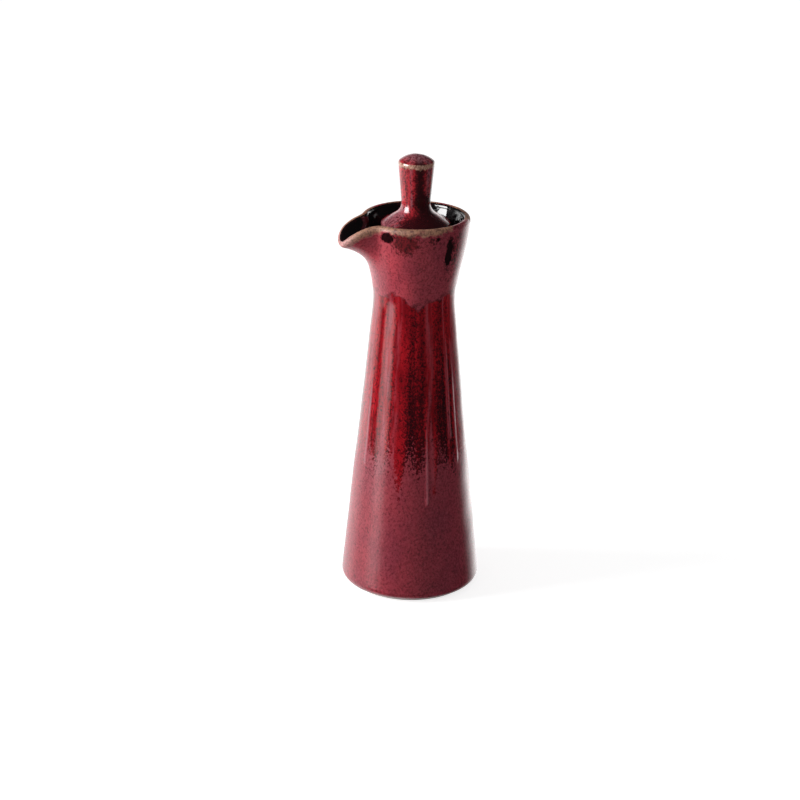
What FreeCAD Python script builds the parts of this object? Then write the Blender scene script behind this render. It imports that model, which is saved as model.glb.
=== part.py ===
import FreeCAD, Part

import math
import os

from FreeCAD import Vector

# Oil and vinegar dispenser: a slim glazed ceramic bottle with a pinched pouring
# spout, and a loose ceramic stopper that stands in its mouth.
# Millimetres, +Z up. The origin is the centre of the foot, on the table.
# The spout points along -X, and XZ is the mirror plane of the whole thing.
# Heights in the mouth are measured down from the rim, so that they follow it.

# Bottle, outside
rim_height = 129.5  # table to the top of the lip, away from the spout
base_radius = 23.65  # the cone's radius, carried down to the table
base_rounding = 3.4  # between the wall and the underside
waist_below_rim = 25.8  # level where the cone and the funnel would meet
waist_radius = 13.37  # their radius there, before the waist is rounded
waist_rounding = 36.0
flare_below_rim = 6.5  # level where the funnel turns more upright
flare_radius = 17.47
flare_rounding = 75.0
rim_radius = 18.0  # outer radius of the wall, carried up to the rim

# Lip and mouth
lip_thickness = 2.4
lip_rise = 1.3  # height of the half-ellipse that rounds the lip
mouth_clearance = 1.15  # between the bottom of the mouth and the plug, all round
throat_below_rim = 23.0
throat_length = 9.5
throat_rounding = 5.0
seat_clearance = 0.3  # between the throat and the stopper's plug, all round

# Spout: a local pull of the rim, outward and down, that starts above the waist
spout_reach = 9.25  # how far the tip stands out past the round rim
spout_reach_angle = 20.0  # degrees each side of the tip
spout_reach_power = 3.6
spout_swell_power = 2.7  # how late the wall swells on its way up
spout_drop = 8.0  # how far the tip lies below the rim
spout_drop_angle = 15.7  # degrees each side of the tip
spout_drop_power = 2.35
spout_sink_power = 1.7  # how late the wall sinks on its way up

# Cavity
cavity_wall = 3.4
shoulder_length = 6.0  # height over which the throat widens to the cavity
shoulder_rounding = 6.0
floor_thickness = 4.0
floor_rounding = 4.0

# Foot
foot_height = 0.7
foot_radius = 20.3
foot_width = 3.2
foot_recess = 1.0  # how deep the hollow inside the foot ring is

# Stopper
flange_below_rim = 2.6  # level of the flange's upper edge
flange_overhang = 1.55  # how far the flange stands out past the plug
flange_edge_rounding = 0.8
flange_thickness = 2.6
stem_foot_rise = 4.6  # from the flange's edge up to where the stem would start
stem_foot_radius = 4.6
stem_foot_rounding = 4.2
stem_length = 16.15
ridge_radius = 6.05
ridge_rounding = 1.1
dome_height = 2.35
plug_radius = 10.1  # just under the flange
plug_taper = 0.036  # radius lost per millimetre of depth
plug_length = 26.0
plug_end_rounding = 1.2

# How finely the mouth's skin is worked out
ring_points = 64
spout_crowding = 0.6  # 0 spaces a ring's points evenly, more crowds them at the spout
ring_gap = 2.0
lip_rings = 9
arc_step = 1.5  # degrees between rings where the outline is rounded
small_step = 0.01  # for directions on the skin
join_tolerance = 0.001  # between the skin's smooth rings and true circles

# Levels that several pieces share
flange_height = rim_height - flange_below_rim
flange_radius = plug_radius + flange_overhang
throat_height = rim_height - throat_below_rim
rim_lean = (rim_radius - flare_radius) / flare_below_rim
lip_start = rim_height - lip_rise - 0.5 * lip_thickness * rim_lean


def unit(radius, height):
    """The direction of a step in the plane of the outline."""
    size = math.hypot(radius, height)
    return radius / size, height / size


def rounded_outline(corners):
    """Lines and tangent arcs along corners of (radius, height, rounding).

    A line is (start, end), an arc is (start, end, centre). A rounding is cut
    back where its corner's sides are too short for it.
    """
    pieces = []
    start = corners[0][:2]
    for before, corner, after in zip(corners, corners[1:], corners[2:]):
        into = unit(corner[0] - before[0], corner[1] - before[1])
        out = unit(after[0] - corner[0], after[1] - corner[1])
        turn = math.acos(max(-1.0, min(1.0, into[0] * out[0] + into[1] * out[1])))
        reach = corner[2] * math.tan(turn / 2)
        for other in (before, after):
            room = 0.49 if other[2] > 0 else 0.98
            reach = min(reach, room * math.dist(other[:2], corner[:2]))
        first = (corner[0] - reach * into[0], corner[1] - reach * into[1])
        last = (corner[0] + reach * out[0], corner[1] + reach * out[1])
        pieces.append((start, first))
        if reach > 0:
            side = math.copysign(1.0, into[0] * out[1] - into[1] * out[0])
            radius = reach / math.tan(turn / 2)
            centre = (first[0] - side * radius * into[1], first[1] + side * radius * into[0])
            pieces.append((first, last, centre))
        start = last
    pieces.append((start, corners[-1][:2]))
    return pieces


def arc_sweep(piece):
    """An arc's radius, first angle and turn."""
    start, end, centre = piece
    first = math.atan2(start[1] - centre[1], start[0] - centre[0])
    last = math.atan2(end[1] - centre[1], end[0] - centre[0])
    turn = (last - first + math.pi) % (2 * math.pi) - math.pi
    return math.dist(start, centre), first, turn


def arc_point(piece, share):
    radius, first, turn = arc_sweep(piece)
    angle = first + share * turn
    return piece[2][0] + radius * math.cos(angle), piece[2][1] + radius * math.sin(angle)


def outline_points(pieces):
    """Points along an outline, each with its direction there."""
    points = []
    for piece in pieces:
        start, end = piece[:2]
        if len(piece) == 3:
            _, first, turn = arc_sweep(piece)
            side = math.copysign(1.0, turn)
            count = max(3, math.ceil(abs(math.degrees(turn)) / arc_step))
            angles = [first + turn * i / count for i in range(count)]
            steps = [(-side * math.sin(angle), side * math.cos(angle)) for angle in angles]
            places = [arc_point(piece, i / count) for i in range(count)]
        else:
            count = max(1, math.ceil(math.dist(start, end) / ring_gap))
            shares = [i / count for i in range(count)]
            steps = [unit(end[0] - start[0], end[1] - start[1])] * count
            places = [
                (start[0] + share * (end[0] - start[0]), start[1] + share * (end[1] - start[1]))
                for share in shares
            ]
        points += list(zip(places, steps))
    return points + [(end, steps[-1])]


def bump(turn, half_angle, power):
    """1 in the spout's direction, falling to 0 on both sides of it."""
    return math.exp(-((abs(turn) / math.radians(half_angle)) ** power))


def pulled(place, turn, root):
    """Where the spout moves a point of the round outline, turned from the spout."""
    radius, height = place
    share = max(0.0, (height - root) / (rim_height - root))
    out = spout_reach * bump(turn, spout_reach_angle, spout_reach_power)
    down = spout_drop * bump(turn, spout_drop_angle, spout_drop_power)
    radius += out * share**spout_swell_power
    height -= down * share**spout_sink_power
    return Vector(-radius * math.cos(turn), -radius * math.sin(turn), height)


def wall_frame(point, turn, root):
    """A point of the outer wall, its outward normal and its upward direction."""
    place, step = point
    below = (place[0] - small_step * step[0], place[1] - small_step * step[1])
    up = (pulled(place, turn, root) - pulled(below, turn, root)).normalize()
    along = pulled(place, turn + small_step, root) - pulled(place, turn - small_step, root)
    return pulled(place, turn, root), along.cross(up).normalize(), up


def cone_radius(height):
    """The outside's radius below the waist."""
    share = height / (rim_height - waist_below_rim)
    return base_radius + share * (waist_radius - base_radius)


def plug_radius_at(height):
    return plug_radius - plug_taper * (flange_height - flange_thickness - height)


def outer_outline():
    """The outside away from the spout, from the middle of the foot up to the lip."""
    corners = [
        (0, foot_recess, 0),
        (foot_radius - foot_width, foot_recess, 0),
        (foot_radius - foot_width, 0, 0),
        (foot_radius, 0, 0),
        (foot_radius, foot_height, 0),
        (cone_radius(foot_height), foot_height, base_rounding),
        (waist_radius, rim_height - waist_below_rim, waist_rounding),
        (flare_radius, rim_height - flare_below_rim, flare_rounding),
        (rim_radius - rim_lean * (rim_height - lip_start), lip_start, 0),
    ]
    return rounded_outline(corners)


def inner_outline(start):
    """The inside, from the bottom of the mouth down to the middle of the floor."""
    throat_end = throat_height - throat_length
    shoulder = throat_end - shoulder_length
    floor = foot_recess + floor_thickness
    corners = [
        (start[0], start[1], 0),
        (plug_radius_at(throat_height) + seat_clearance, throat_height, throat_rounding),
        (plug_radius_at(throat_end) + seat_clearance, throat_end, throat_rounding),
        (cone_radius(shoulder) - cavity_wall, shoulder, shoulder_rounding),
        (cone_radius(floor) - cavity_wall, floor, floor_rounding),
        (0, floor, 0),
    ]
    return rounded_outline(corners)


def stopper_outline():
    """Half of the stopper's outline: dome, ridge, stem, flange and tapering plug."""
    stem_foot = flange_height + stem_foot_rise
    ridge = stem_foot + stem_length
    under = flange_height - flange_thickness
    plug_end = under - plug_length
    dome_radius = (ridge_radius**2 + dome_height**2) / (2 * dome_height)
    dome_centre = (0, ridge + dome_height - dome_radius)
    # The dome's arc ends where the ridge's rounding takes over.
    lean = math.asin(ridge_radius / dome_radius) - ridge_rounding / dome_radius
    dome_end = (dome_radius * math.sin(lean), dome_centre[1] + dome_radius * math.cos(lean))
    drop = (ridge_radius - dome_end[0]) * math.tan(lean)
    corners = [
        dome_end + (0,),
        (ridge_radius, dome_end[1] - drop, ridge_rounding),
        (stem_foot_radius, stem_foot, stem_foot_rounding),
        (flange_radius, flange_height, flange_edge_rounding),
        (plug_radius, under, 0),
        (plug_radius_at(plug_end), plug_end, plug_end_rounding),
        (0, plug_end, 0),
    ]
    dome = ((0, ridge + dome_height), dome_end, dome_centre)
    return [dome] + rounded_outline(corners)


def mouth_rings(outside):
    """Rings of points over the mouth: up the outside, over the lip, down inside."""
    root_radius, root = outside[0][0]
    root_wall = root_radius - plug_radius_at(root) - mouth_clearance
    even = [2 * math.pi * i / ring_points - math.pi for i in range(ring_points)]
    turns = [angle - spout_crowding * math.sin(angle) for angle in even]
    walls = [[wall_frame(point, turn, root) for turn in turns] for point in outside]
    rings = [[place for place, _, _ in wall] for wall in walls]
    for i in range(1, lip_rings + 1):
        angle = math.pi * i / (lip_rings + 1)
        inward = 0.5 * lip_thickness * (1 - math.cos(angle))
        rise = lip_rise * math.sin(angle)
        rings.append([place - normal * inward + up * rise for place, normal, up in walls[-1]])
    for (place, _), wall in zip(reversed(outside), reversed(walls)):
        depth = (lip_start - place[1]) / (lip_start - root)
        thickness = lip_thickness + depth * (root_wall - lip_thickness)
        rings.append([place - normal * thickness for place, normal, _ in wall])
    return rings


def skin(rings):
    """A smooth face through rings of points, closed round each ring."""
    around = [i / ring_points for i in range(ring_points + 1)]
    levels = [0.0]
    for low, high in zip(rings, rings[1:]):
        levels.append(levels[-1] + (high[0] - low[0]).Length)
    rows = []
    for ring in rings:
        curve = Part.BSplineCurve()
        curve.interpolate(Points=ring, PeriodicFlag=True, Parameters=around)
        rows.append(curve.getPoles())
    columns = []
    for column in zip(*rows):
        rise = Part.BSplineCurve()
        rise.interpolate(Points=list(column), Parameters=levels)
        columns.append(rise.getPoles())
    surface = Part.BSplineSurface()
    surface.buildFromPolesMultsKnots(
        columns,
        curve.getMultiplicities(),
        rise.getMultiplicities(),
        curve.getKnots(),
        rise.getKnots(),
        True,
        False,
        curve.Degree,
        rise.Degree,
    )
    return surface.toShape()


def turned(pieces):
    """The shell that an outline makes when it is turned about the axis."""
    edges = []
    for piece in pieces:
        start, end = [Vector(place[0], 0, place[1]) for place in piece[:2]]
        if len(piece) == 2:
            edges.append(Part.LineSegment(start, end).toShape())
        else:
            middle = arc_point(piece, 0.5)
            edges.append(Part.Arc(start, Vector(middle[0], 0, middle[1]), end).toShape())
    return Part.Wire(edges).revolve(Vector(0, 0, 0), Vector(0, 0, 1), 360)


def solid_of(faces):
    solid = Part.Solid(Part.makeShell(faces))
    if solid.Volume < 0:
        solid.reverse()
    return solid


def bottle():
    """The turned body up to the top of the waist, the mouth's skin and the inside."""
    outline = outer_outline()
    body, mouth = outline[:-3], outline[-3:]
    rings = mouth_rings(outline_points(mouth))
    last = rings[-1][0]
    inside = inner_outline((math.hypot(last.x, last.y), last.z))
    joined, _ = turned(body).generalFuse([skin(rings), turned(inside)], join_tolerance)
    return solid_of(joined.Faces)


def stopper():
    return solid_of(turned(stopper_outline()).Faces)


def main():
    os.makedirs("parts", exist_ok=True)
    for name, shape in (("bottle", bottle()), ("stopper", stopper())):
        shape.exportStep(f"parts/{name}.step")


main()
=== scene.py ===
import math

import bpy
import numpy as np
from mathutils import Matrix, Vector


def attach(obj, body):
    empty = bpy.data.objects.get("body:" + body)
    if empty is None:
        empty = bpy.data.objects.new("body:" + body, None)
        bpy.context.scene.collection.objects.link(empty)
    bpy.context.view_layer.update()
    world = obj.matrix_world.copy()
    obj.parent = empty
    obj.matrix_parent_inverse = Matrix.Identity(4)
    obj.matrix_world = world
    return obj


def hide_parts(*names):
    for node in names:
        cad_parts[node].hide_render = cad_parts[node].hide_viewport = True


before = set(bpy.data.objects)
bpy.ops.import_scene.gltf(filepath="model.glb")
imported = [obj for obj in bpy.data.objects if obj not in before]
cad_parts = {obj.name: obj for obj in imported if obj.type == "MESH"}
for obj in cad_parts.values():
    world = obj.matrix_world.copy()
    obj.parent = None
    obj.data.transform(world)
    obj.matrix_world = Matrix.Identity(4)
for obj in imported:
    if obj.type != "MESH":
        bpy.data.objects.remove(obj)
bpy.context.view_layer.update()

# Oil and vinegar dispenser: a red kiln-glazed bottle with a pinched spout, and its stopper.
# Metres, +Z up, spout along -X. Each piece is one closed ceramic mesh with the glaze's own relief,
# and takes the place of the plain solid of the same form.

# Bottle, outside
rim_height = 0.1295
base_radius = 0.02365
base_rounding = 0.0034
waist_below_rim = 0.0258
waist_radius = 0.01337
waist_rounding = 0.036
flare_below_rim = 0.0065
flare_radius = 0.01747
flare_rounding = 0.075
rim_radius = 0.018

# Lip and mouth
lip_thickness = 0.0024
lip_rise = 0.0013
mouth_clearance = 0.00115
throat_below_rim = 0.023
throat_length = 0.0095
throat_rounding = 0.005
seat_clearance = 0.0003

# Spout
spout_reach = 0.00925
spout_reach_angle = math.radians(20.0)
spout_reach_power = 3.6
spout_swell_power = 2.7
spout_drop = 0.008
spout_drop_angle = math.radians(15.7)
spout_drop_power = 2.35
spout_sink_power = 1.7

# Cavity and foot
cavity_wall = 0.0034
shoulder_length = 0.006
shoulder_rounding = 0.006
floor_thickness = 0.004
floor_rounding = 0.004
foot_height = 0.0007
foot_radius = 0.0203
foot_width = 0.0032
foot_recess = 0.001
foot_rounding = 0.0002

# Stopper
flange_below_rim = 0.0026
flange_overhang = 0.00155
flange_edge_rounding = 0.0008
flange_thickness = 0.0026
flange_under_rounding = 0.0001
stem_foot_rise = 0.0046
stem_foot_radius = 0.0046
stem_foot_rounding = 0.0042
stem_length = 0.01615
ridge_radius = 0.00605
ridge_rounding = 0.0011
dome_height = 0.00235
plug_radius = 0.0101
plug_taper = 0.036
plug_length = 0.026
plug_end_rounding = 0.0012

# Glaze that gathers just inside the lip
inner_swell = 0.0006
swell_depth = 0.0019  # below the lip, where it is full
swell_end = (0.005, 0.013)  # below the lip, where it thins out
swell_waves = ((5, 0.3, 1.0), (9, 0.25, 2.6))  # (waves round, share, phase)

# How finely the meshes are worked out
bottle_segments = 360
stopper_segments = 192
outside_gap = 0.0011  # between rings
inside_gap = 0.005
stopper_gap = 0.0005
arc_step = math.radians(7)
dome_rings = 14
lip_rings = 12
small_step = 0.00001
spout_crowding = 0.35  # how much closer together the segments are on the spout

flange_height = rim_height - flange_below_rim
flange_under = flange_height - flange_thickness
flange_radius = plug_radius + flange_overhang
stem_foot_height = flange_height + stem_foot_rise
ridge_height = stem_foot_height + stem_length
waist_height = rim_height - waist_below_rim
throat_height = rim_height - throat_below_rim
rim_lean = (rim_radius - flare_radius) / flare_below_rim
lip_start = rim_height - lip_rise - 0.5 * lip_thickness * rim_lean


def rounded_outline(corners, gap):
    """Points along corners of (radius, height, rounding), each rounding a tangent arc.

    Also returns which point ends each corner's rounding.
    """
    points = [np.array(corners[0][:2], float)]
    ends = []

    def run_to(end):
        start = points[-1]
        count = max(1, math.ceil(np.linalg.norm(end - start) / gap))
        points.extend(start + (end - start) * i / count for i in range(1, count + 1))

    for before, corner, after in zip(corners, corners[1:], corners[2:]):
        place = np.array(corner[:2], float)
        into = place - before[:2]
        out = np.array(after[:2], float) - place
        into_size, out_size = np.linalg.norm(into), np.linalg.norm(out)
        into, out = into / into_size, out / out_size
        turn = math.acos(np.clip(into @ out, -1, 1))
        reach = corner[2] * math.tan(turn / 2)
        for size, other in ((into_size, before), (out_size, after)):
            reach = min(reach, size * (0.49 if other[2] > 0 else 0.98))
        first = place - reach * into
        run_to(first)
        if reach > 0:
            side = math.copysign(1.0, into[0] * out[1] - into[1] * out[0])
            radius = reach / math.tan(turn / 2)
            centre = first + side * radius * np.array([-into[1], into[0]])
            count = max(2, math.ceil(turn / arc_step), math.ceil(turn * radius / gap))
            x, y = first - centre
            for i in range(1, count + 1):
                angle = side * turn * i / count
                cos, sin = math.cos(angle), math.sin(angle)
                points.append(centre + np.array([cos * x - sin * y, sin * x + cos * y]))
        ends.append(len(points) - 1)
    run_to(np.array(corners[-1][:2], float))
    return np.array(points), ends


def cone_radius(height):
    return base_radius + height / waist_height * (waist_radius - base_radius)


def plug_radius_at(height):
    return plug_radius - plug_taper * (flange_under - height)


def outer_outline():
    """The outside away from the spout, from the middle of the foot up to the lip.

    Also returns which point ends the waist, where the spout's pull begins.
    """
    corners = [
        (0, foot_recess, 0),
        (foot_radius - foot_width, foot_recess, foot_rounding),
        (foot_radius - foot_width, 0, foot_rounding),
        (foot_radius, 0, foot_rounding),
        (foot_radius, foot_height, 0),
        (cone_radius(foot_height), foot_height, base_rounding),
        (waist_radius, waist_height, waist_rounding),
        (flare_radius, rim_height - flare_below_rim, flare_rounding),
        (rim_radius - rim_lean * (rim_height - lip_start), lip_start, 0),
    ]
    outline, ends = rounded_outline(corners, outside_gap)
    return outline, ends[-2]


def inner_outline(start):
    """The inside, from the bottom of the mouth down to the middle of the floor."""
    throat_end = throat_height - throat_length
    shoulder = throat_end - shoulder_length
    floor = foot_recess + floor_thickness
    corners = [
        (*start, 0),
        (plug_radius_at(throat_height) + seat_clearance, throat_height, throat_rounding),
        (plug_radius_at(throat_end) + seat_clearance, throat_end, throat_rounding),
        (cone_radius(shoulder) - cavity_wall, shoulder, shoulder_rounding),
        (cone_radius(floor) - cavity_wall, floor, floor_rounding),
        (0, floor, 0),
    ]
    return rounded_outline(corners, inside_gap)[0]


def stopper_outline():
    """From the top of the dome down to the middle of the plug's end."""
    plug_end = flange_under - plug_length
    dome_radius = (ridge_radius**2 + dome_height**2) / (2 * dome_height)
    centre_height = ridge_height + dome_height - dome_radius
    lean = math.asin(ridge_radius / dome_radius) - ridge_rounding / dome_radius
    angles = np.linspace(0, lean, dome_rings)
    dome = np.stack([dome_radius * np.sin(angles), centre_height + dome_radius * np.cos(angles)], 1)
    drop = (ridge_radius - dome[-1][0]) * math.tan(lean)
    corners = [
        (*dome[-1], 0),
        (ridge_radius, dome[-1][1] - drop, ridge_rounding),
        (stem_foot_radius, stem_foot_height, stem_foot_rounding),
        (flange_radius, flange_height, flange_edge_rounding),
        (plug_radius, flange_under, flange_under_rounding),
        (plug_radius_at(plug_end), plug_end, plug_end_rounding),
        (0, plug_end, 0),
    ]
    return np.concatenate([dome[:-1], rounded_outline(corners, stopper_gap)[0]])


def step(values, low, high):
    """Rises smoothly from 0 at low to 1 at high."""
    share = np.clip((values - low) / (high - low), 0, 1)
    return share * share * (3 - 2 * share)


def bump(turn, half_angle, power):
    return np.exp(-((np.abs(turn) / half_angle) ** power))


def turned(radius, height, turn):
    """Points of the round outline, turned from the spout's side."""
    flat = np.zeros_like(turn)
    return np.stack([-radius * np.cos(turn), -radius * np.sin(turn), height + flat], -1)


def turned_rings(outline, turns):
    return turned(outline[:, 0:1], outline[:, 1:2], turns[None, :])


def pulled(radius, height, turn, root):
    """Where the spout moves points of the round outline that lie above its root."""
    share = np.clip((height - root) / (rim_height - root), 0, None)
    out = spout_reach * bump(turn, spout_reach_angle, spout_reach_power)
    down = spout_drop * bump(turn, spout_drop_angle, spout_drop_power)
    return turned(radius + out * share**spout_swell_power, height - down * share**spout_sink_power, turn)


def unit(vectors):
    return vectors / np.linalg.norm(vectors, axis=-1, keepdims=True)


def wall_frames(outline, turns, root):
    """Points, outward normals and upward directions over the outer wall, ring by ring."""
    back = small_step * unit(np.gradient(outline, axis=0))
    turn = turns[None, :]
    radius, height = outline[:, 0:1], outline[:, 1:2]
    place = pulled(radius, height, turn, root)
    below = pulled(radius - back[:, 0:1], height - back[:, 1:2], turn, root)
    up = unit(place - below)
    along = pulled(radius, height, turn + small_step, root)
    along = along - pulled(radius, height, turn - small_step, root)
    return place, unit(np.cross(along, up)), up


def bottle_rings():
    """Every ring of the bottle, from the middle of the foot to the middle of the inner floor.

    Also returns the turns from the spout, and each outside ring's height where there is no spout.
    """
    even = 2 * math.pi * np.arange(bottle_segments) / bottle_segments - math.pi
    turns = even - spout_crowding * np.sin(even)
    outline, root_index = outer_outline()
    root = outline[root_index, 1]
    body = turned_rings(outline[:root_index], turns)
    mouth = outline[root_index:]
    place, normal, up = wall_frames(mouth, turns, root)
    lip = []
    for i in range(1, lip_rings + 1):
        angle = math.pi * i / (lip_rings + 1)
        inward = 0.5 * lip_thickness * (1 - math.cos(angle))
        lip.append(place[-1] - normal[-1] * inward + up[-1] * lip_rise * math.sin(angle))
    root_wall = mouth[0, 0] - plug_radius_at(root) - mouth_clearance
    below = (lip_start - mouth[:, 1])[::-1, None, None]
    thickness = lip_thickness + below / (lip_start - root) * (root_wall - lip_thickness)
    swell = inner_swell * (1 - np.exp(-((below / swell_depth) ** 2))) * (1 - step(below, *swell_end))
    uneven = 1 + sum(share * np.sin(count * turns + phase) for count, share, phase in swell_waves)
    thickness = thickness + swell * uneven[None, :, None]
    inner = place[::-1] - normal[::-1] * thickness
    last = inner[-1, 0]
    inside = turned_rings(inner_outline((math.hypot(last[0], last[1]), last[2]))[1:], turns)
    rings = np.concatenate([body, place, np.array(lip), inner, inside])
    return turns, rings, outline[:, 1]


def closed_mesh(name, rings, part_of_ring):
    """A closed mesh whose first and last rings are single points. Faces take their ring's part."""
    count = rings.shape[1]
    rows = len(rings) - 2
    points = np.concatenate([rings[1:-1].reshape(-1, 3), rings[0, :1], rings[-1, :1]])
    first, last = len(points) - 2, len(points) - 1
    faces, parts = [], []
    for i in range(rows - 1):
        for j in range(count):
            k = (j + 1) % count
            faces.append((i * count + j, i * count + k, (i + 1) * count + k, (i + 1) * count + j))
            parts.append(part_of_ring[i + 1])
    for j in range(count):
        k = (j + 1) % count
        faces.append((first, k, j))
        parts.append(part_of_ring[0])
        faces.append((last, (rows - 1) * count + j, (rows - 1) * count + k))
        parts.append(part_of_ring[rows])
    mesh = bpy.data.meshes.new(name)
    mesh.from_pydata(points.tolist(), [], faces)
    mesh.polygons.foreach_set("material_index", parts)
    mesh.polygons.foreach_set("use_smooth", [True] * len(faces))
    mesh.update()
    piece = bpy.data.objects.new(name, mesh)
    bpy.context.scene.collection.objects.link(piece)
    return piece


def give_values(piece, name, shape, *fields):
    """Stores up to three numbers for each vertex, given for rings of the mesh's own layout."""
    values = np.zeros((*shape, 3))
    for i, field in enumerate(fields):
        values[..., i] = field
    flat = np.concatenate([values[1:-1].reshape(-1, 3), values[0, :1], values[-1, :1]])
    attribute = piece.data.attributes.new(name, "FLOAT_VECTOR", "POINT")
    attribute.data.foreach_set("vector", flat.astype(np.float32).ravel())


# Where the glaze lies, as it was dipped and ran, and where highlight and shade are painted on it. Turns are
# degrees from the spout.
band_top = 0.1045  # the dark red band shows between two coats of rose
band_foot = 0.0500
# (waves round, height, turn)
top_waves = ((3, 0.0012, 132), (7, 0.0008, 98), (13, 0.0003, 10))
foot_waves = ((3, 0.0010, 160), (5, 0.0010, 20), (11, 0.0006, 95))
# (turn, half width, how far the run reaches below the band)
runs = (
    (28, 5, 0.004), (55.5, 4, 0.012), (74.5, 3, 0.006), (91, 3, 0.012), (112, 5, 0.003), (150, 4, 0.007),
    (188, 3, 0.011), (226, 5, 0.006), (262, 3, 0.010), (301, 4, 0.007), (335, 3, 0.010),
)
# (turn, half width, strength)
dark_streaks = (
    (22, 6, -0.25), (50, 6, -0.35), (42.5, 1.2, 0.5), (46, 0.8, 0.35), (68, 7, 0.75), (79, 3, 0.6),
    (96, 2, 0.4), (101, 3.2, 0.75), (106, 2.4, 0.9), (116, 1.8, 0.75), (150, 4, 0.4), (165, 6, 0.8),
    (197, 3, 0.9), (238, 5, 0.9), (275, 3, 0.7), (318, 4, 0.8), (346, 3, 0.6),
)
# Pale mauve veils of the glaze; those at 4, 35 and 48, towards the lamps, are partly painted highlight
pale_streaks_and_highlights = (
    (4, 8, 0.6), (35, 4.5, 0.8), (48, 5, 0.5), (88, 5.5, 0.75), (110.5, 1.3, 0.9), (124, 5, 0.8),
    (138, 6, 0.8), (180, 3, 0.7), (212, 5, 0.7), (253, 4, 0.7), (290, 5, 0.7), (328, 3, 0.7), (352, 3, 0.5),
)
lip_dark = ((128, 20, 1.0), (212, 14, 1.0), (300, 16, 1.0))
lip_dark_reach = 0.0022
# Plum tone round the bottle; the hill at 102, on the side away from the lamps, is painted shade
plum_and_shade_sides = ((102, 30, 1.0), (235, 30, 0.6), (325, 18, 0.4))
# where the spout's lip is paler pink, partly a painted highlight
spout_front = ((0, 17, 1.0),)
# (turn, half width, height, half height, strength)
dark_spots = (
    (36.8, 8, 0.1261, 0.0016, 1.6), (108, 6.5, 0.1205, 0.0075, 1.0), (92, 4, 0.1262, 0.002, 0.7),
    (205, 5, 0.126, 0.002, 0.9), (287, 3.5, 0.1235, 0.005, 0.85), (240, 9, 0.125, 0.003, 0.5),
)
blotches = (
    (57, 15, 0.1250, 0.0042, 1.5), (118, 13, 0.1200, 0.0095, 0.8), (90, 10, 0.125, 0.003, 0.6),
    (175, 14, 0.124, 0.004, 0.8), (222, 12, 0.122, 0.006, 0.8), (300, 14, 0.1245, 0.004, 0.8),
    (338, 10, 0.124, 0.003, 0.6),
)

# The glaze's relief, in metres
# (turn, half width, foot, top, how far it stands out): thin drips
drips = (
    (83.6, 1.5, 0.0348, 0.0725, 0.00045), (113, 1.3, 0.056, 0.103, 0.00025),
    (13, 2.5, 0.046, 0.085, 0.00010), (121, 1.5, 0.048, 0.09, 0.0002), (184, 1.6, 0.037, 0.08, 0.0004),
    (262, 1.6, 0.039, 0.085, 0.0004), (305, 1.6, 0.042, 0.07, 0.0004),
)
drip_start = (-0.0012, 0.0006)  # from the drip's foot
drip_fade = 0.02  # below the drip's top
bead_rise, bead_length, bead_swell = 0.0012, 0.0015, 0.4
# (turn, half width, how far it stands out): broad low folds where the streaks ran
folds = (
    (22, 6.5, 0.00009), (50, 9, 0.00008), (68, 4, -0.00006), (101, 4, 0.00014), (117, 2.6, 0.00009),
    (140, 6, 0.0001), (200, 8, 0.00014), (238, 5, 0.00012), (275, 5, 0.0001), (322, 7, 0.00014),
)
folds_start, folds_end = (0.040, 0.056), (0.094, 0.112)
lump_size, small_lump_size = 0.00005, 0.00003
coat_thickness = 0.00009
coat_edge = 0.0006
coat_fade = 0.006
relief_start, relief_end = 0.008, (0.117, 0.124)
foot_tuck = 0.000012  # keeps the relief inside the plain solid close to the foot
tuck_end = (0.01, 0.03)


def around(turns, centre):
    """Degrees from a centre, the short way round."""
    return (np.degrees(turns) - centre + 180) % 360 - 180


def hill(turns, centre, half):
    return np.exp(-((around(turns, centre) / half) ** 2))


def hills(turns, peaks):
    """A sum of smooth bumps round the bottle."""
    return sum(strength * hill(turns, centre, half) for centre, half, strength in peaks)


def waves(turns, parts):
    return sum(size * np.cos(count * (turns - math.radians(turn))) for count, size, turn in parts)


def patches(turns, heights, shapes):
    return sum(
        strength * hill(turns, centre, half) * np.exp(-(((heights - level) / tall) ** 2))
        for centre, half, level, tall, strength in shapes
    )


def drip_shape(turns, heights, centre, half, foot, top):
    start, end = drip_start
    along = step(heights, foot + start, foot + end) * (1 - step(heights, top - drip_fade, top))
    return hill(turns, centre, half) * along


def relief(turns, heights):
    """How far the fired glaze stands out from the body: slow unevenness, folds and drips."""
    turn, height = turns[None, :], heights[:, None]
    lumps = lump_size * np.sin(3 * turn + height * 160) * np.cos(2 * turn - height * 95 + 1.3)
    lumps += small_lump_size * np.sin(7 * turn - height * 210 + 0.6) * np.sin(height * 330)
    folded = step(height, *folds_start) * (1 - step(height, *folds_end))
    total = lumps + folded * hills(turn, folds)
    for centre, half, foot, top, size in drips:
        bead = 1 + bead_swell * np.exp(-(((height - foot - bead_rise) / bead_length) ** 2))
        total = total + size * drip_shape(turn, height, centre, half, foot, top) * bead
    coat = step(height, band_top - coat_edge, band_top + coat_edge) - 1
    total = total + coat_thickness * coat * step(height, band_foot - coat_fade, band_foot + coat_fade)
    fade = step(height, foot_height, relief_start) * (1 - step(height, *relief_end))
    tuck = step(height, 0.5 * foot_height, foot_height) * (1 - step(height, *tuck_end))
    return total * fade - foot_tuck * tuck


# Places of the materials on each mesh
outside_part, inside_part, clay_part = 0, 1, 2
stopper_glaze_part, stopper_clay_part = 0, 1
outside_on_lip = lip_rings // 2 + 2  # rings of the lip that wear the outside's glaze
tiny = 1e-6


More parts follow.
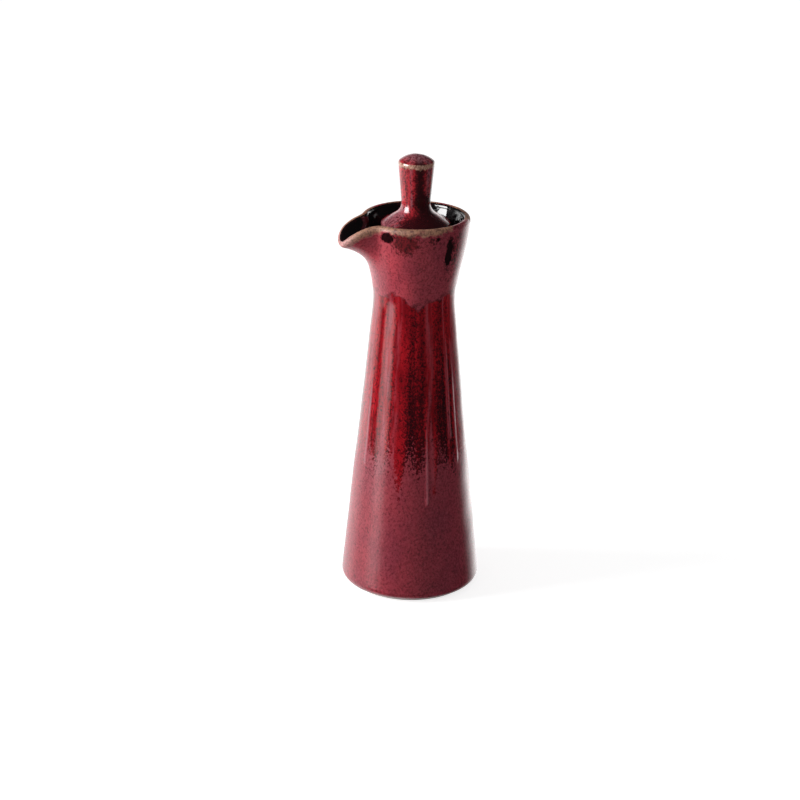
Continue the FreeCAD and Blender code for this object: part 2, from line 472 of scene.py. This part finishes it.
def build_bottle():
    turns, rings, heights = bottle_rings()
    outside = len(heights)
    shape = rings.shape[:2]
    out = np.stack([-np.cos(turns), -np.sin(turns), 0 * turns], -1)
    rings[:outside] += relief(turns, heights)[..., None] * out[None]
    first_glazed = 1 + max(i for i in range(outside) if heights[i] <= foot_height + tiny)
    parts = [clay_part] * first_glazed
    parts += [outside_part] * (outside + outside_on_lip - first_glazed)
    parts += [inside_part] * (len(rings) - len(parts))
    piece = closed_mesh("bottle_body", rings, parts)
    height = np.full(shape, lip_start)
    height[:outside] = heights[:, None]
    height[outside + lip_rings:] = 0
    low = height - band_foot - waves(turns, foot_waves) + hills(turns, runs)
    high = band_top + waves(turns, top_waves) - height
    lip = rim_height - height
    for i in range(lip_rings):
        lip[outside + i] = lip_rise * (1 - (i + 1) / lip_rings)
    lip = lip + lip_dark_reach * hills(turns, lip_dark)
    drip = sum(drip_shape(turns, height, *place) for *place, size in drips)
    dark, pale_and_highlight = hills(turns, dark_streaks), hills(turns, pale_streaks_and_highlights)
    spots, blotch = patches(turns, height, dark_spots), patches(turns, height, blotches)
    plum_and_shade_side, by_spout = hills(turns, plum_and_shade_sides), hills(turns, spout_front)
    give_values(piece, "glaze_edges", shape, low, high, lip)
    give_values(piece, "streaks_and_highlights", shape, dark, pale_and_highlight, drip)
    give_values(piece, "glaze_marks", shape, spots, blotch)
    give_values(piece, "glaze_places", shape, height, plum_and_shade_side, by_spout)
    for material in (bottle_glaze(), inside_glaze(), bare_clay()):
        piece.data.materials.append(material)
    return piece


# Streaks on the stopper: (turn, half width, strength), and for spots also height and half height. The pale
# ones are mauve veils of the glaze, and towards the lamps partly painted sheen.
flange_dark = ((112, 34, 1.1), (240, 24, 0.8))
flange_pale_and_sheen = ((2, 34, 1.2), (126, 16, 0.6), (200, 20, 0.6), (285, 20, 0.7))
knob_dark = ((30, 4, 0.4), (80, 16, 1.0), (140, 12, 0.6), (205, 16, 0.6), (290, 16, 0.6))
knob_pale_and_sheen = ((-16, 15, 0.7), (50, 7, 0.7), (112, 13, 0.8), (165, 9, 0.5), (240, 12, 0.6), (318, 10, 0.5))
knob_spots = (
    (98, 24, 0.1350, 0.0022, 1.8), (250, 30, 0.135, 0.002, 0.8), (72, 34, 0.1281, 0.0020, 1.8),
)
stem_start = (0.1315, 0.1345)
clay_above_under = 0.0003  # how far the bare clay shows on the flange's edge


def build_stopper():
    turns = -2 * math.pi * np.arange(stopper_segments) / stopper_segments  # the rings come top first
    outline = stopper_outline()
    rings = turned_rings(outline, turns)
    glaze_end = flange_under + clay_above_under
    parts = [stopper_glaze_part if height > glaze_end else stopper_clay_part for height in outline[:, 1]]
    piece = closed_mesh("stopper_body", rings, parts)
    shape = rings.shape[:2]
    height = np.broadcast_to(outline[:, 1:2], shape)
    on_stem = step(height, *stem_start)
    dark = on_stem * hills(turns, knob_dark) + (1 - on_stem) * hills(turns, flange_dark)
    dark = dark + patches(turns, height, knob_spots)
    pale_and_highlight = on_stem * hills(turns, knob_pale_and_sheen) + (1 - on_stem) * hills(turns, flange_pale_and_sheen)
    give_values(piece, "streaks_and_highlights", shape, dark, pale_and_highlight, height)
    piece.data.materials.append(stopper_glaze())
    piece.data.materials.append(bare_clay())
    return piece


class Graph:
    """Short names for building nodes."""

    def __init__(self, tree):
        self.tree = tree
        self.shader = tree.nodes.get("Principled BSDF")
        self.places = self.add("TexCoord").outputs

    def add(self, kind):
        return self.tree.nodes.new("ShaderNode" + kind)

    def put(self, socket, value):
        if isinstance(value, bpy.types.NodeSocket):
            self.tree.links.new(value, socket)
        elif socket.type == "RGBA":
            socket.default_value = (*value, 1)
        else:
            socket.default_value = value

    def set(self, name, value):
        self.put(self.shader.inputs[name], value)

    def math(self, operation, *values):
        node = self.add("Math")
        node.operation = operation
        for socket, value in zip(node.inputs, values):
            self.put(socket, value)
        return node.outputs[0]

    def plus(self, first, second):
        return self.math("ADD", first, second)

    def minus(self, first, second):
        return self.math("SUBTRACT", first, second)

    def times(self, first, second):
        return self.math("MULTIPLY", first, second)

    def greater(self, first, second):
        return self.math("MAXIMUM", first, second)

    def near_zero(self, value, reach):
        """1 where a value is 0, falling to 0 where it is further away than the reach."""
        return self.step(self.math("ABSOLUTE", value), reach, 0.0)

    def step(self, value, start, end):
        """Rises smoothly from 0 at the start to 1 at the end, whichever is the greater."""
        node = self.add("MapRange")
        node.interpolation_type = "SMOOTHSTEP"
        self.put(node.inputs["Value"], value)
        node.inputs["From Min"].default_value = min(start, end)
        node.inputs["From Max"].default_value = max(start, end)
        node.inputs["To Min"].default_value = float(start > end)
        node.inputs["To Max"].default_value = float(start <= end)
        return node.outputs["Result"]

    def mix(self, share, first, second, strength=1.0):
        """Goes from the first colour to the second, as far as the strength at a share of 1."""
        node = self.add("Mix")
        node.data_type = "RGBA"
        if strength != 1.0:
            share = self.times(share, strength)
        colours = [socket for socket in node.inputs if socket.type == "RGBA"]
        self.put(node.inputs["Factor"], share)
        self.put(colours[0], first)
        self.put(colours[1], second)
        return next(socket for socket in node.outputs if socket.type == "RGBA")

    def noise(self, size, stretch=1.0, detail=2.0, rough=0.5):
        """Noise with lumps of a size in metres, longer up and down by a stretch."""
        mapping = self.add("Mapping")
        self.put(mapping.inputs["Vector"], self.places["Object"])
        mapping.inputs["Scale"].default_value = (1, 1, 1 / stretch)
        node = self.add("TexNoise")
        self.put(node.inputs["Vector"], mapping.outputs[0])
        node.inputs["Scale"].default_value = 1 / size
        node.inputs["Detail"].default_value = detail
        node.inputs["Roughness"].default_value = rough
        return node.outputs[0]

    def swayed(self, value, noise, sway):
        """A value that noise moves up and down by half of the sway."""
        return self.plus(value, self.times(self.minus(noise, 0.5), sway))

    def apart(self, vector):
        node = self.add("SeparateXYZ")
        self.put(node.inputs[0], vector)
        return node.outputs

    def values(self, name):
        """The three numbers stored at each vertex under a name."""
        node = self.add("Attribute")
        node.attribute_name = name
        return self.apart(node.outputs["Vector"])

    def relief(self, height, depth):
        node = self.add("Bump")
        node.inputs["Distance"].default_value = depth
        self.put(node.inputs["Height"], height)
        self.set("Normal", node.outputs[0])


def new_material(name):
    material = bpy.data.materials.new(name)
    material.use_nodes = True
    return material, Graph(material.node_tree)


# Colours, linear
rose = (0.43, 0.043, 0.065)
top_rose = (0.60, 0.062, 0.088)
rose_dark_grain = (0.10, 0.009, 0.017)
rose_pale_grain = (0.52, 0.10, 0.13)
plum = (0.26, 0.029, 0.056)
crimson = (0.26, 0.005, 0.011)
bright_red = (0.50, 0.010, 0.019)
near_black = (0.030, 0.003, 0.006)
# mauve of the veils, partly a painted highlight
mauve_and_highlight = (0.46, 0.066, 0.092)
drip_pink = (0.55, 0.16, 0.20)
stain_red = (0.24, 0.008, 0.014)
stain_dark = (0.05, 0.003, 0.005)
soot = (0.008, 0.001, 0.002)
tan = (0.60, 0.280, 0.165)
brown = (0.26, 0.095, 0.060)
dark_brown = (0.14, 0.036, 0.024)
# pale pink of the spout's lip, partly a painted highlight
lip_pink_and_highlight = (0.68, 0.310, 0.290)
inside_black = (0.008, 0.006, 0.007)
inside_maroon = (0.035, 0.007, 0.012)
clay_dark = (0.66, 0.52, 0.44)
clay_pale = (0.80, 0.70, 0.62)
stopper_crimson = (0.40, 0.016, 0.026)
stopper_red = (0.64, 0.030, 0.046)
# mauve of the stopper's veils, partly painted sheen
stopper_mauve_and_sheen = (0.42, 0.130, 0.160)
dome_mauve = (0.60, 0.250, 0.290)
dome_dark = (0.22, 0.045, 0.060)
collar_tan = (0.75, 0.44, 0.32)

glaze_shine = 0.75
satin_roughness = 0.27
band_smoothness = 0.19  # how much less rough the band and the black pools are
thin_roughness = 0.38  # how much rougher the thin glaze on the lip is
clay_roughness = 0.85
stopper_roughness = 0.18
inside_roughness = 0.16
grain_size = 0.00065
glaze_lump_size = 0.0014
glaze_lump_depth = 0.00003


def rose_coat(g, grain, level, plum_and_shade_side):
    """Rose, brighter above the waist, with plum clouds, plum on some sides that is partly painted shade,
    and fine dark and pale grain.
    """
    cloud = g.noise(0.011, stretch=1.6, detail=3.0)
    coat = g.mix(g.step(level, 0.098, 0.106), rose, top_rose)
    coat = g.mix(g.step(cloud, 0.4, 0.75), coat, plum, strength=0.6)
    # plum on some sides, partly painted shade on the side away from the lamps
    coat = g.mix(plum_and_shade_side, coat, plum, strength=0.5)
    coat = g.mix(g.step(grain, 0.48, 0.68), coat, rose_dark_grain, strength=0.72)
    return g.mix(g.step(grain, 0.48, 0.28), coat, rose_pale_grain, strength=0.35)


def red_band(g, grain, low, dark, pale_and_highlight):
    """Two reds in long streaks, mauve veils that are partly painted highlight, and dark grain that thickens
    towards the foot.
    """
    streak = g.noise(0.0020, stretch=16, detail=3.0)
    haze = g.noise(0.0016, stretch=20)
    lower = g.plus(g.times(g.step(low, 0.042, 0.018), 0.5), 0.5)
    shade = g.times(g.times(dark, lower), g.step(streak, 0.0, 0.42))
    # mauve veils, partly painted highlight towards the lamps
    veil_and_highlight = g.times(pale_and_highlight, g.step(haze, 0.25, 0.6))
    band = g.mix(g.step(streak, 0.36, 0.62), crimson, bright_red)
    band = g.mix(g.step(veil_and_highlight, 0.1, 0.8), band, mauve_and_highlight)
    band = g.mix(g.step(shade, 0.2, 1.1), band, near_black, strength=0.6)
    density = g.plus(grain, g.times(shade, 0.16))
    density = g.plus(density, g.times(g.step(low, 0.046, 0.016), 0.045))
    density = g.minus(density, g.times(g.step(pale_and_highlight, 0.1, 0.7), 0.09))
    return g.mix(g.step(density, 0.48, 0.66), band, near_black, strength=0.88)


def lip_clay(g, grain, by_spout):
    """Clay that shows through thin glaze: tan and brown, paler pink on the spout that is partly a painted
    highlight, with dark grain.
    """
    mottle = g.noise(0.0011, detail=4.0, rough=0.65)
    tone = g.mix(g.step(mottle, 0.30, 0.50), brown, tan)
    # paler pink on the spout's lip, partly painted highlight
    tone = g.mix(g.step(by_spout, 0.3, 0.9), tone, lip_pink_and_highlight)
    return g.mix(g.step(grain, 0.45, 0.60), tone, dark_brown, strength=0.65)


def bottle_glaze():
    material, g = new_material("bottle_glaze")
    low, high, lip = g.values("glaze_edges")
    dark, pale_and_highlight, drip = g.values("streaks_and_highlights")
    spots, blotch = g.values("glaze_marks")[:2]
    level, plum_and_shade_side, by_spout = g.values("glaze_places")
    grain = g.noise(grain_size, stretch=1.3, detail=3.0, rough=0.7)
    coat = rose_coat(g, grain, level, plum_and_shade_side)
    band = red_band(g, grain, low, dark, pale_and_highlight)

    # The band's ends: a fairly clean edge above, hairy points below that break up into grain
    hair = g.noise(0.0010, stretch=6, detail=3.0, rough=0.6)
    low = g.swayed(g.swayed(low, hair, 0.016), grain, 0.040)
    high = g.swayed(high, g.noise(0.004, detail=3.0), 0.008)
    inside_band = g.times(g.step(low, -0.0016, 0.0034), g.step(high, -0.0002, 0.0006))
    colour = g.mix(inside_band, coat, band)
    colour = g.mix(g.near_zero(high, 0.0006), colour, near_black, strength=0.45)
    colour = g.mix(g.step(drip, 0.35, 0.9), colour, drip_pink, strength=0.6)

    # Ragged dark red blotches under the lip, each with a thin dark shore
    patch = g.noise(0.0030, stretch=0.8, detail=4.0, rough=0.6)
    loose = g.swayed(g.times(g.minus(patch, 0.5), 1.2), grain, 1.9)
    stain = g.plus(blotch, loose)
    stain_tone = g.mix(g.step(grain, 0.42, 0.58), stain_red, stain_dark)
    colour = g.mix(g.near_zero(g.minus(stain, 0.12), 0.06), colour, near_black, strength=0.35)
    colour = g.mix(g.step(stain, 0.25, 0.95), colour, stain_tone, strength=0.92)

    # Thin glaze on the lip, pools of black, and a dark line at the foot
    thin = g.step(g.swayed(lip, patch, 0.0045), 0.0026, 0.0012)
    pool = g.step(g.plus(spots, g.times(loose, 0.45)), 0.38, 0.72)
    colour = g.mix(thin, colour, lip_clay(g, grain, by_spout))
    colour = g.mix(pool, colour, soot, strength=0.97)
    colour = g.mix(g.step(level, 0.0022, 0.0009), colour, near_black, strength=0.7)

    smooth = g.greater(inside_band, g.times(pool, g.minus(1.0, thin)))
    roughness = g.minus(satin_roughness, g.times(smooth, band_smoothness))
    g.set("Base Color", colour)
    g.set("Roughness", g.plus(roughness, g.times(thin, thin_roughness)))
    g.set("Specular IOR Level", glaze_shine)
    g.relief(g.noise(glaze_lump_size), glaze_lump_depth)
    return material


def inside_glaze():
    material, g = new_material("inside_glaze")
    tone = g.step(g.noise(0.004, detail=3.0), 0.45, 0.75)
    g.set("Base Color", g.mix(tone, inside_black, inside_maroon))
    g.set("Roughness", g.times(g.noise(0.003), inside_roughness))
    g.set("Specular IOR Level", glaze_shine)
    g.relief(g.noise(0.0045, detail=1.5), 0.00035)
    return material


def bare_clay():
    material, g = new_material("bare_clay")
    mottle = g.noise(0.0009, detail=4.0, rough=0.65)
    g.set("Base Color", g.mix(g.step(mottle, 0.3, 0.7), clay_dark, clay_pale))
    g.set("Roughness", clay_roughness)
    g.relief(mottle, 0.00006)
    return material


def stopper_glaze():
    material, g = new_material("stopper_glaze")
    dark, pale_and_highlight, level = g.values("streaks_and_highlights")
    grain = g.noise(grain_size, stretch=1.2, detail=3.0, rough=0.7)
    streak = g.noise(0.0014, stretch=7, detail=3.0)
    # mauve veils, partly painted sheen towards the lamps
    veil_and_highlight = g.times(pale_and_highlight, g.plus(g.times(g.step(streak, 0.62, 0.36), 0.5), 0.5))
    shade = g.times(dark, g.step(streak, 0.15, 0.5))
    density = g.plus(grain, g.times(shade, 0.2))
    colour = g.mix(g.step(streak, 0.34, 0.6), stopper_crimson, stopper_red)
    colour = g.mix(g.step(veil_and_highlight, 0.1, 0.7), colour, stopper_mauve_and_sheen, strength=0.9)
    colour = g.mix(g.step(shade, 0.2, 1.0), colour, near_black, strength=0.65)
    colour = g.mix(g.step(density, 0.46, 0.64), colour, near_black, strength=0.85)

    # The dome is greyer, and the glaze is thin just under its edge
    dome_tone = g.mix(g.step(grain, 0.4, 0.6), dome_mauve, dome_dark)
    colour = g.mix(g.step(level, ridge_height, ridge_height + 0.0022), colour, dome_tone, strength=0.9)
    ragged = g.swayed(level, streak, 0.003)
    collar_foot = g.step(ragged, ridge_height - 0.0017, ridge_height - 0.0009)
    collar = g.times(collar_foot, g.step(level, ridge_height + 0.0003, ridge_height - 0.0001))
    collar_tone = g.mix(g.step(grain, 0.4, 0.65), collar_tan, brown)
    colour = g.mix(collar, colour, collar_tone, strength=0.92)

    g.set("Base Color", colour)
    g.set("Roughness", stopper_roughness)
    g.set("Specular IOR Level", glaze_shine)
    g.relief(g.noise(glaze_lump_size), glaze_lump_depth)
    return material


bottle = build_bottle()
stopper = build_stopper()
for piece, node in ((bottle, "bottle"), (stopper, "stopper")):
    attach(piece, "root")
    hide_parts(node)

# Camera: from above, with the spout at the left and the lens and sensor in millimetres
camera_lens, camera_sensor = 107.46, 36
camera_place = Vector((-0.2849, -0.6938, 0.3521))
camera_aim = Vector((-0.00391, 0.00158, 0.06465))
camera_roll = math.radians(0.89)
facing = math.atan2(camera_place.y, camera_place.x)  # the camera's side of the object


def aimed(place, aim):
    """Where a camera or lamp stands that looks from a place at an aim."""
    return Matrix.Translation(place) @ (aim - place).to_track_quat("-Z", "Y").to_matrix().to_4x4()


def build_camera():
    camera = bpy.data.objects.new("camera", bpy.data.cameras.new("camera"))
    bpy.context.scene.collection.objects.link(camera)
    camera.data.lens = camera_lens
    camera.data.sensor_width = camera_sensor
    camera.data.clip_start = 0.05
    camera.data.clip_end = 20
    camera.matrix_world = aimed(camera_place, camera_aim) @ Matrix.Rotation(camera_roll, 4, "Z")
    bpy.context.scene.camera = camera


# Studio: lamps at the left, where turns are degrees from the camera's side, positive to the right
lamp_aim = Vector((0, 0, 0.07))
lamp_distance = 0.8
lamp_rise = 17
key_turn, key_size, key_radiance = -80, (0.30, 0.60), 10.6
softbox_turn, softbox_size, softbox_radiance = -73, (0.46, 0.62), 14
# The white table close by on the right, as the foot of the bottle mirrors it
table_turn, table_size, table_radiance = 126, (0.08, 0.07), 1.0
table_distance = 0.118
table_height = 0.001
floor_half = 2.5
floor_grey = (0.75, 0.75, 0.75)
floor_glow = 0.8
floor_roughness = 0.9
# How bright the world is: on the object, and in each part of the room that the glaze mirrors
ambient = 0.25
reflected_dark = 0.02
right_wall, left_wall, low_left_wall, softbox_glow = 2.3, 1.35, 0.9, 1.7


def lamp(name, size, radiance, place):
    light = bpy.data.lights.new(name, "AREA")
    light.shape = "RECTANGLE"
    light.size, light.size_y = size
    light.energy = radiance * math.pi * size[0] * size[1]
    holder = bpy.data.objects.new(name, light)
    bpy.context.scene.collection.objects.link(holder)
    holder.matrix_world = place
    holder.visible_camera = False
    return holder


def lamp_place(turn):
    angle, rise = facing + math.radians(turn), math.radians(lamp_rise)
    out = Vector((math.cos(rise) * math.cos(angle), math.cos(rise) * math.sin(angle), math.sin(rise)))
    return aimed(lamp_aim + lamp_distance * out, lamp_aim)


def build_lamps():
    """A key lamp that colours the glaze, and a softbox and a table that only show in it."""
    key = lamp("key", key_size, key_radiance, lamp_place(key_turn))
    key.visible_glossy = False
    softbox = lamp("softbox", softbox_size, softbox_radiance, lamp_place(softbox_turn))
    softbox.visible_diffuse = False
    angle = facing + math.radians(table_turn)
    centre = Vector((table_distance * math.cos(angle), table_distance * math.sin(angle), table_height))
    upward = Matrix.Rotation(angle, 4, "Z") @ Matrix.Rotation(math.pi, 4, "X")
    table = lamp("table", table_size, table_radiance, Matrix.Translation(centre) @ upward)
    table.visible_diffuse = False


def build_floor():
    """A pale floor that shows white, keeps the object's shadow, and isn't mirrored in the glaze."""
    toward = floor_half * Vector((math.cos(facing), math.sin(facing), 0))
    across = Vector((-toward.y, toward.x, 0))
    corners = [toward - across, toward + across, -toward + across, -toward - across]
    mesh = bpy.data.meshes.new("floor")
    mesh.from_pydata(corners, [], [(0, 1, 2, 3)])
    floor = bpy.data.objects.new("floor", mesh)
    bpy.context.scene.collection.objects.link(floor)
    material, g = new_material("floor")
    seen = g.add("LightPath").outputs["Is Camera Ray"]
    g.set("Base Color", floor_grey)
    g.set("Roughness", floor_roughness)
    g.set("Specular IOR Level", 0.0)
    g.set("Emission Color", (1.0, 1.0, 1.0))
    g.set("Emission Strength", g.times(seen, floor_glow))
    mesh.materials.append(material)
    floor.visible_glossy = False


def mirrored_room(g):
    """The room in reflections: pale walls at the right and left and a glow beside the softbox.

    It is dark overhead and on the camera's side. Angles are from the camera's side.
    """
    turned_back = g.add("VectorRotate")
    turned_back.rotation_type = "Z_AXIS"
    turned_back.inputs["Angle"].default_value = -facing
    g.put(turned_back.inputs["Vector"], g.places["Generated"])
    toward, across, rise = g.apart(turned_back.outputs[0])
    side = g.math("ARCTAN2", across, toward)

    def wall(start, end):
        return g.step(side, math.radians(start), math.radians(end))

    right_dimming = g.plus(0.3, g.times(g.step(rise, -0.62, -0.35), 0.7))
    right = g.times(g.times(wall(113, 150), right_wall), right_dimming)
    low_left = g.times(wall(-72, -90), g.step(rise, -0.25, -0.29))
    left = g.greater(g.times(wall(-95, -118), left_wall), g.times(low_left, low_left_wall))
    glow = g.times(g.times(wall(-50, -60), wall(-82, -73)), softbox_glow)
    glow = g.times(glow, g.step(rise, -0.42, -0.3))
    room = g.plus(g.plus(right, left), glow)
    return g.plus(g.times(room, g.step(rise, 0.42, 0.05)), reflected_dark)


def build_world():
    """Even light for the object, white for the camera, and a room for reflections."""
    world = bpy.data.worlds.new("world")
    bpy.context.scene.world = world
    world.use_nodes = True
    g = Graph(world.node_tree)
    background = world.node_tree.nodes["Background"]
    path = g.add("LightPath").outputs
    level = g.times(path["Is Glossy Ray"], g.minus(mirrored_room(g), ambient))
    level = g.plus(level, ambient)
    g.put(background.inputs["Strength"], g.greater(level, path["Is Camera Ray"]))
    g.put(background.inputs["Color"], (1, 1, 1))


build_camera()
build_lamps()
build_floor()
build_world()
bpy.context.scene.view_settings.view_transform = "Standard"
